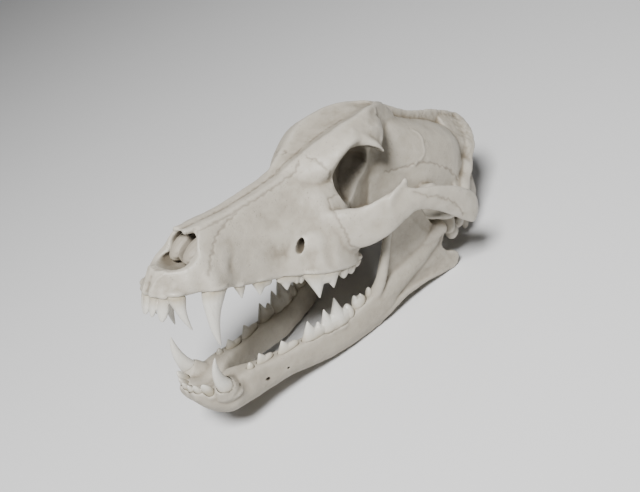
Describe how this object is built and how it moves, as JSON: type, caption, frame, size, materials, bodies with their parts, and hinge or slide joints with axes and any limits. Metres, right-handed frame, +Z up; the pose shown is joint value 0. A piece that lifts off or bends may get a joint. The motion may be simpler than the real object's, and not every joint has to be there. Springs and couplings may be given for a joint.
{
  "type": "wolf skull",
  "caption": "Dry wolf skull with its lower jaw held open, all teeth in place, lying on its jaw and the back of the cranium.",
  "frame": {"origin": "centre of the bounding box in X and Y, on the surface it lies on", "axes": "+Z up, snout towards -Y, the animal's left side towards +X"},
  "size_m": [0.1452, 0.2838, 0.133],
  "materials": {
    "cranium_bone": "dry bone, dull with a faint sheen",
    "jaw_bone": "dry bone, dull with a faint sheen"
  },
  "bodies": {
    "root": {"cranium": "cranium_bone", "mandible_left": "jaw_bone", "mandible_right": "jaw_bone"}
  },
  "joints": []
}
